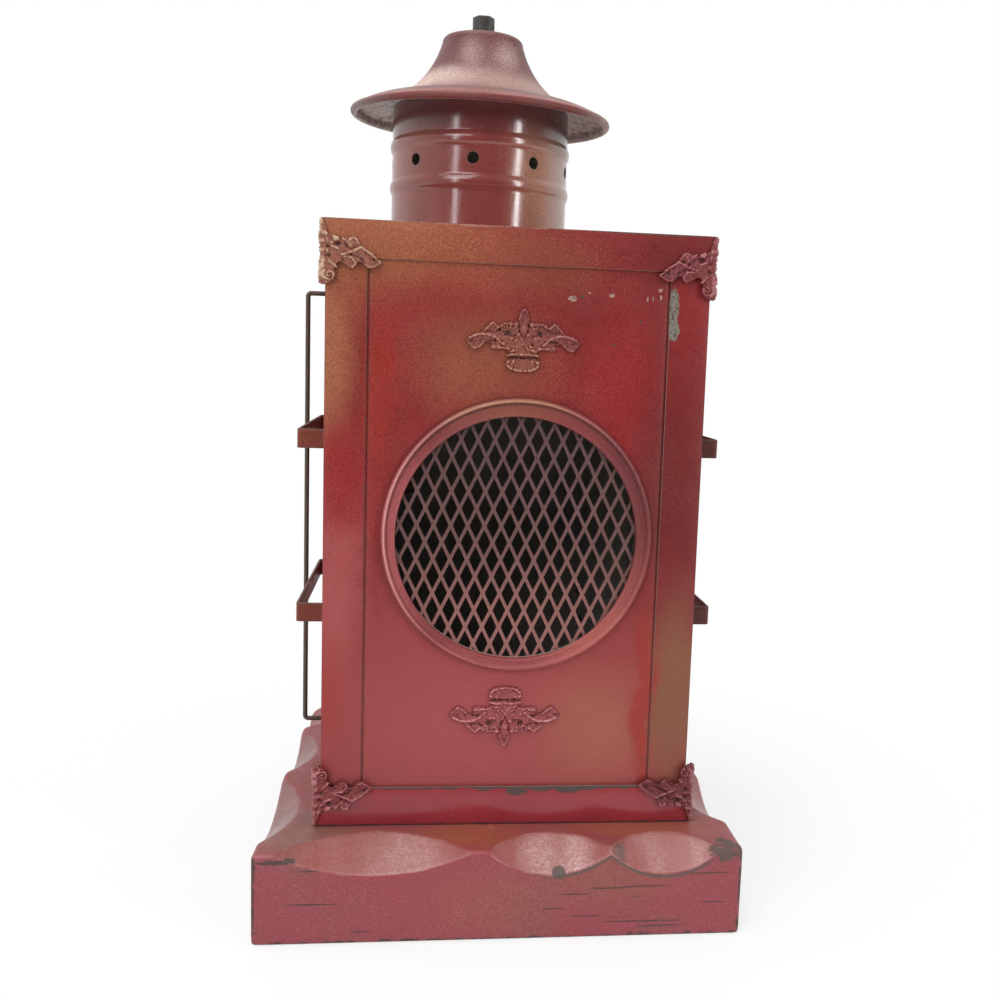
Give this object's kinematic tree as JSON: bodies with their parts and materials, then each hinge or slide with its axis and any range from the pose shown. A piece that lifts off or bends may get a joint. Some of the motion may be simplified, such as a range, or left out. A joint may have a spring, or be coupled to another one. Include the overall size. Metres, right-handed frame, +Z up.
{
  "type": "candle lantern",
  "caption": "Square tin candle lantern on a gouged wooden base, with a round mesh window, leaf-scroll corner ornaments, vented chimney, bell cap and hinged rear door",
  "frame": {"origin": "on the base's underside, halfway along its depth and below the middle of the body's width", "axes": "+Z up, front with the round window faces -Y, rear door faces +Y"},
  "size_m": [0.182, 0.175, 0.354],
  "materials": {
    "red_tin": "satin, worn",
    "painted_wood": "worn gloss paint",
    "cap_tin": "dusty, matte",
    "mesh_steel": "dull grey",
    "stamped_metal": "worn",
    "guard_wire": "aged",
    "dark_steel": "dark, dull",
    "red_fittings": "satin"
  },
  "bodies": {
    "lantern": {"bottom_pan": "red_tin", "top_pan": "red_tin", "front_left_post": "red_tin", "front_right_post": "red_tin", "rear_left_post": "red_tin", "rear_right_post": "red_tin", "front_panel": "red_tin", "left_wall": "red_tin", "right_wall": "red_tin", "back_wall": "red_tin", "window_bezel": "red_tin", "chimney": "red_tin", "chimney_bridge": "red_tin", "left_upper_bracket": "red_tin", "left_lower_bracket": "red_tin", "right_upper_bracket": "red_tin", "right_lower_bracket": "red_tin", "candle_dish": "red_tin", "base_block": "painted_wood", "cap": "cap_tin", "mesh_disc": "mesh_steel", "upper_ornament": "stamped_metal", "lower_ornament": "stamped_metal", "top_left_ornament": "stamped_metal", "top_right_ornament": "stamped_metal", "bottom_left_ornament": "stamped_metal", "bottom_right_ornament": "stamped_metal", "left_guard_wire": "guard_wire", "right_guard_wire": "guard_wire", "cap_bolt": "dark_steel", "cap_washer": "dark_steel", "cap_nut": "dark_steel", "cap_spacer": "dark_steel", "chimney_rivets": "dark_steel", "post_leaf_rivets": "dark_steel", "base_screws": "dark_steel", "hinge_pins": "dark_steel", "latch_rivet": "dark_steel", "lower_fixed_leaf": "red_fittings", "upper_fixed_leaf": "red_fittings"},
    "door": {"door": "red_tin", "door_knob": "red_fittings", "lower_moving_leaf": "red_fittings", "upper_moving_leaf": "red_fittings", "door_leaf_rivets": "dark_steel"},
    "latch": {"latch_button": "red_fittings"}
  },
  "joints": [
    {"name": "door_swing", "type": "hinge", "parent": "lantern", "child": "door", "pos_m": [0.055, 0.0832, 0.149], "axis": [0, 0, -1], "range_deg": [0, 110]},
    {"name": "latch_turn", "type": "hinge", "parent": "lantern", "child": "latch", "pos_m": [-0.0635, 0.0827, 0.149], "axis": [0, -1, 0], "continuous": true}
  ]
}
